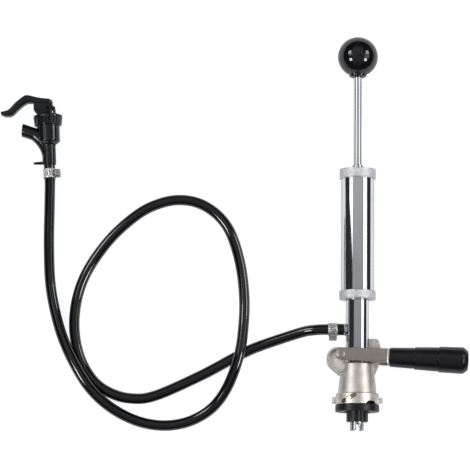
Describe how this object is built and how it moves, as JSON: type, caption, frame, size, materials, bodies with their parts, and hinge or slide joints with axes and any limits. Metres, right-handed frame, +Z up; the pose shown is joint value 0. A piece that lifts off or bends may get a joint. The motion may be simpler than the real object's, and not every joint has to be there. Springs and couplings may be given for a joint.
{
  "type": "keg party pump",
  "caption": "Hand-pumped keg tap: a bayonet coupler whose lever lifts the probe, a chrome air pump with a ball knob, and a black hose that ends in a squeeze faucet.",
  "frame": {"origin": "on the pump's axis at the lower face of the bottom seal, where the keg seats", "axes": "+Y along the pump's axis towards the ball knob, +X towards the lever's grip, +Z up from the table that the part lies on"},
  "size_m": [0.4888, 0.4121, 0.0454],
  "materials": {
    "nickel": "nickel plate on a casting, satin",
    "strap": "satin",
    "pin_steel": "turned",
    "chrome": "mirror plate",
    "knurl": "fine diamond knurl",
    "probe_steel": "machined",
    "clamp_steel": "bright",
    "spring_steel": "bright",
    "brass": "turned",
    "rubber": "smooth",
    "cup_leather": "oiled",
    "black_plastic": "glossy",
    "hose_vinyl": "glossy"
  },
  "bodies": {
    "coupler": {"coupler_body": "nickel", "bottom_seal": "rubber", "hinge_pin": "pin_steel", "hinge_clip": "pin_steel"},
    "lever": {"lever_strap": "strap", "drive_pins": "pin_steel", "grip_stud": "pin_steel", "lever_grip": "black_plastic"},
    "column": {"neck": "chrome", "neck_rings": "rubber", "probe": "probe_steel", "probe_sleeve": "rubber", "outlet_barb": "chrome", "lower_collar": "knurl", "barrel_gasket": "rubber", "air_valve_seat": "brass", "air_valve": "rubber", "barrel": "chrome", "top_cap": "knurl", "rod_bush": "chrome", "hose": "hose_vinyl", "pump_clamp": "clamp_steel", "pump_clamp_screw": "clamp_steel", "faucet_clamp": "clamp_steel", "faucet_clamp_screw": "clamp_steel", "faucet_body": "black_plastic", "faucet_bonnet": "black_plastic", "faucet_spring": "spring_steel"},
    "plunger": {"pump_rod": "chrome", "piston": "brass", "piston_cup": "cup_leather", "piston_washer": "brass", "piston_nut": "pin_steel", "knob_insert": "brass", "ball_knob": "black_plastic"},
    "check": {"check_ball": "pin_steel"},
    "faucet_valve": {"faucet_stem": "black_plastic", "faucet_seal": "rubber"},
    "faucet_handle": {"faucet_lever": "black_plastic", "faucet_pin": "pin_steel"}
  },
  "joints": [
    {"name": "lever_hinge", "type": "hinge", "parent": "coupler", "child": "lever", "pos_m": [-0.017, 0.0589, 0], "axis": [0, 0, 1], "range_deg": [0, 40]},
    {"name": "probe_slide", "type": "slide", "parent": "coupler", "child": "column", "axis": [0, 1, 0], "range_m": [0, 0.0125]},
    {"name": "pump_slide", "type": "slide", "parent": "column", "child": "plunger", "axis": [0, 1, 0], "range_m": [-0.0925, 0]},
    {"name": "check_slide", "type": "slide", "parent": "column", "child": "check", "axis": [0, 1, 0], "range_m": [0, 0.004]},
    {"name": "faucet_stem_slide", "type": "slide", "parent": "column", "child": "faucet_valve", "axis": [-0.0489, 0.9988, 0], "range_m": [0, 0.00349], "stiffness_N_per_m": 600, "springref_m": -0.004, "deforming": ["faucet_spring"]},
    {"name": "faucet_lever_hinge", "type": "hinge", "parent": "faucet_valve", "child": "faucet_handle", "pos_m": [-0.32538, 0.31848, -0.0076], "axis": [0, 0, 1], "range_deg": [0, 25]}
  ],
  "couplings": [
    {"joint": "probe_slide", "follows": "lever_hinge", "m_per_rad": 0.0168},
    {"joint": "faucet_lever_hinge", "follows": "faucet_stem_slide", "rad_per_m": 125}
  ]
}
